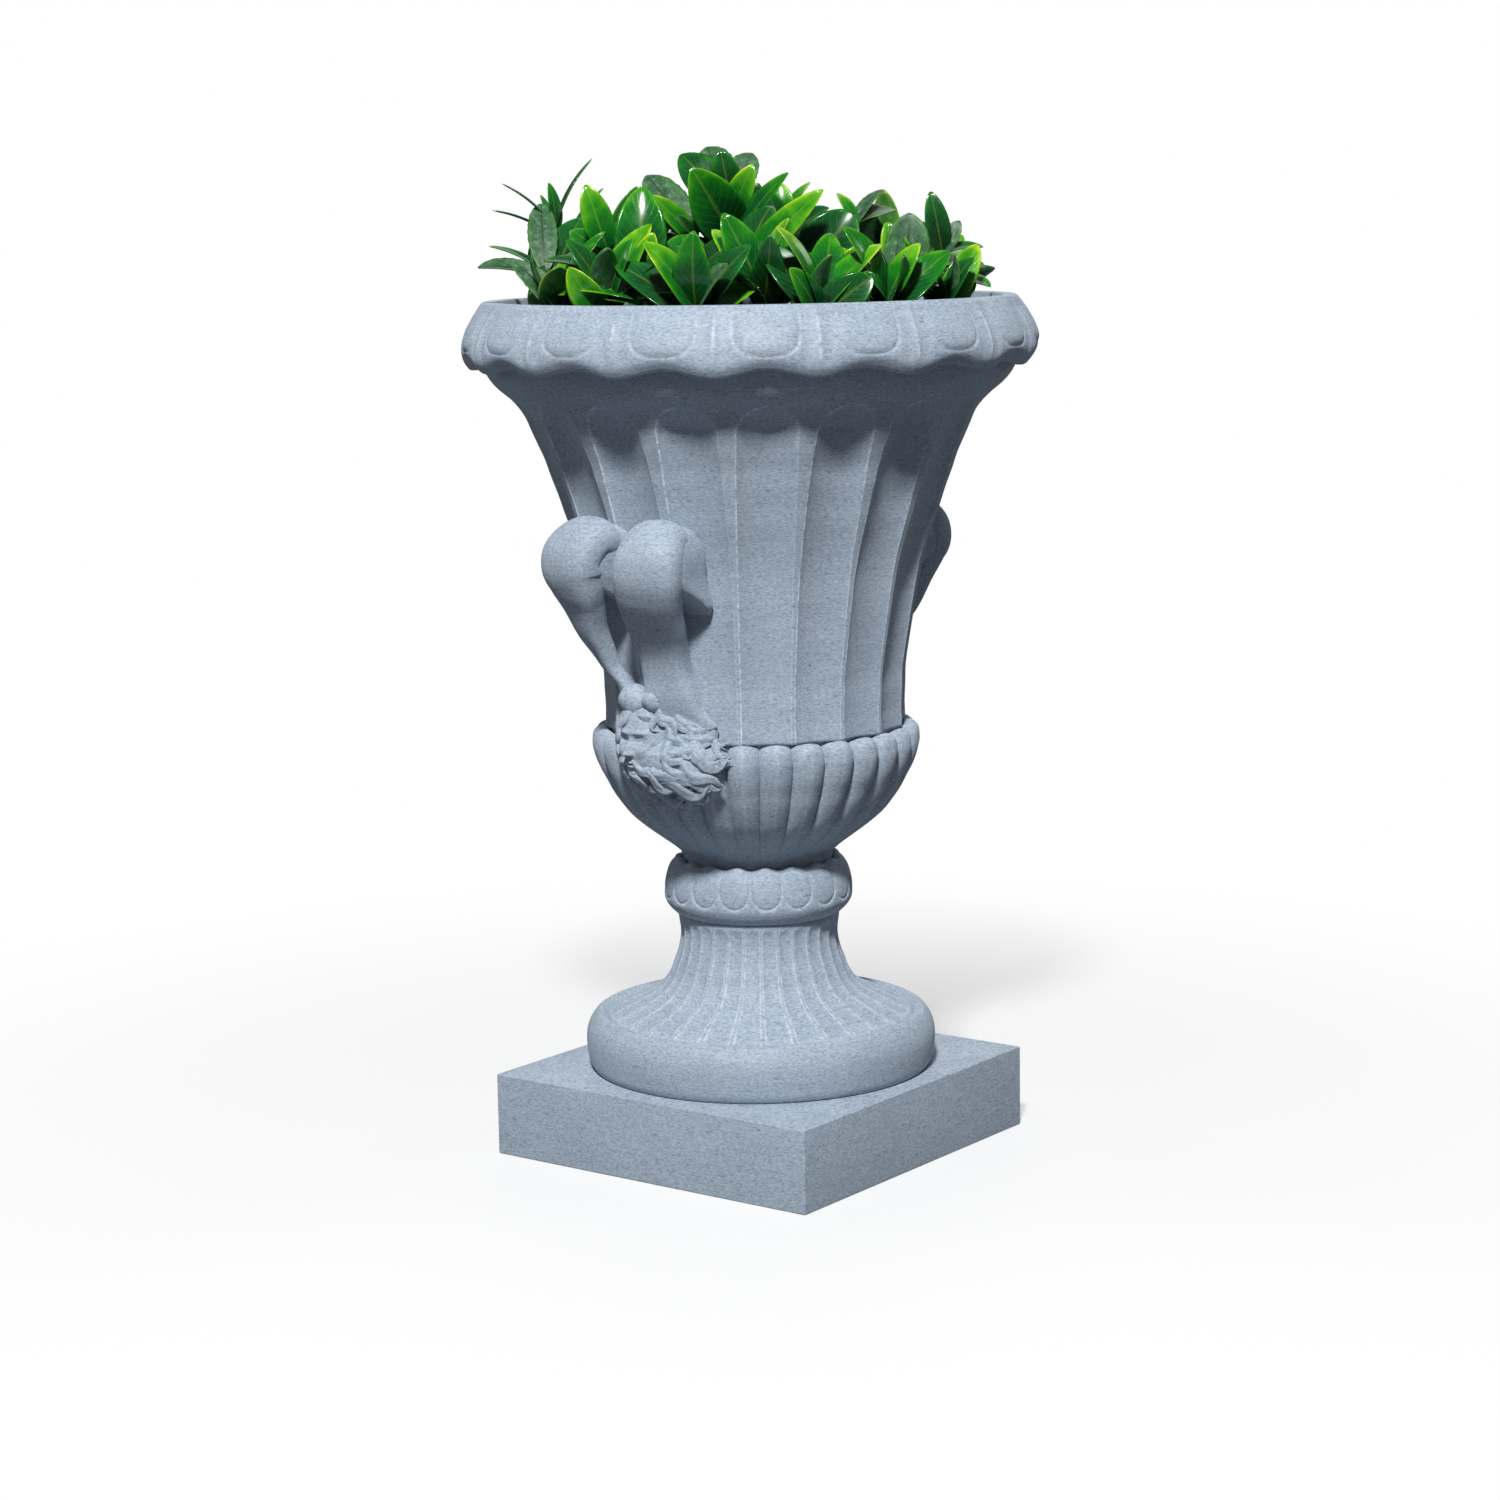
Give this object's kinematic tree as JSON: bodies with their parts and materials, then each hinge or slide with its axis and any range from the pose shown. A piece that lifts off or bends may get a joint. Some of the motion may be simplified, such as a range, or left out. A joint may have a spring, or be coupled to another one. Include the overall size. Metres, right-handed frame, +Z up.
{
  "type": "flower pot",
  "caption": "Fluted urn planter on a square plinth, with a mask and paired scroll horns on each side and an artificial planting that lifts out.",
  "frame": {"origin": "centre of the plinth's underside", "axes": "+Z up along the urn's axis, +X and -X through the two masks, plinth sides along X and Y"},
  "size_m": [0.2014, 0.2014, 0.352],
  "materials": {
    "printed_stone": "marble-effect filament, satin, with fine level layer lines and small dark specks",
    "leaf_plastic": "glossy moulded leaves, deep green with yellow-green tips, dull grey-green undersides",
    "florist_foam": "dry dark green foam, open grain"
  },
  "bodies": {
    "urn": {"base_ring": "printed_stone", "egg_collar": "printed_stone", "egg_rim": "printed_stone", "fluted_bell": "printed_stone", "fluted_foot": "printed_stone", "gadrooned_bowl": "printed_stone", "horn_left_far": "printed_stone", "horn_left_near": "printed_stone", "horn_right_far": "printed_stone", "horn_right_near": "printed_stone", "mask_left": "printed_stone", "mask_right": "printed_stone", "plinth": "printed_stone"},
    "planting": {"foam_plug": "florist_foam", "sprig_back_left": "leaf_plastic", "sprig_back_right": "leaf_plastic", "sprig_broad": "leaf_plastic", "sprig_dark": "leaf_plastic", "sprig_edge_front_left": "leaf_plastic", "sprig_edge_front_right": "leaf_plastic", "sprig_edge_left": "leaf_plastic", "sprig_edge_middle_left": "leaf_plastic", "sprig_edge_middle_right": "leaf_plastic", "sprig_edge_right": "leaf_plastic", "sprig_front_middle": "leaf_plastic", "sprig_front_right": "leaf_plastic", "sprig_frosted": "leaf_plastic", "sprig_inner_left": "leaf_plastic", "sprig_inner_middle": "leaf_plastic", "sprig_left_front": "leaf_plastic", "sprig_left_low": "leaf_plastic", "sprig_left_tall": "leaf_plastic", "sprig_mid_left": "leaf_plastic", "sprig_middle": "leaf_plastic", "sprig_needles": "leaf_plastic", "sprig_outer_left": "leaf_plastic", "sprig_outer_right": "leaf_plastic", "sprig_rear_left": "leaf_plastic", "sprig_rear_middle": "leaf_plastic", "sprig_rear_right": "leaf_plastic", "sprig_right_back": "leaf_plastic", "sprig_right_tall": "leaf_plastic", "sprig_rim_left": "leaf_plastic", "sprig_side_left": "leaf_plastic", "sprig_side_right": "leaf_plastic", "sprig_top": "leaf_plastic"}
  },
  "joints": [
    {"name": "planting_lift", "type": "slide", "parent": "urn", "child": "planting", "axis": [0, 0, 1], "range_m": [0, 0.1]}
  ]
}
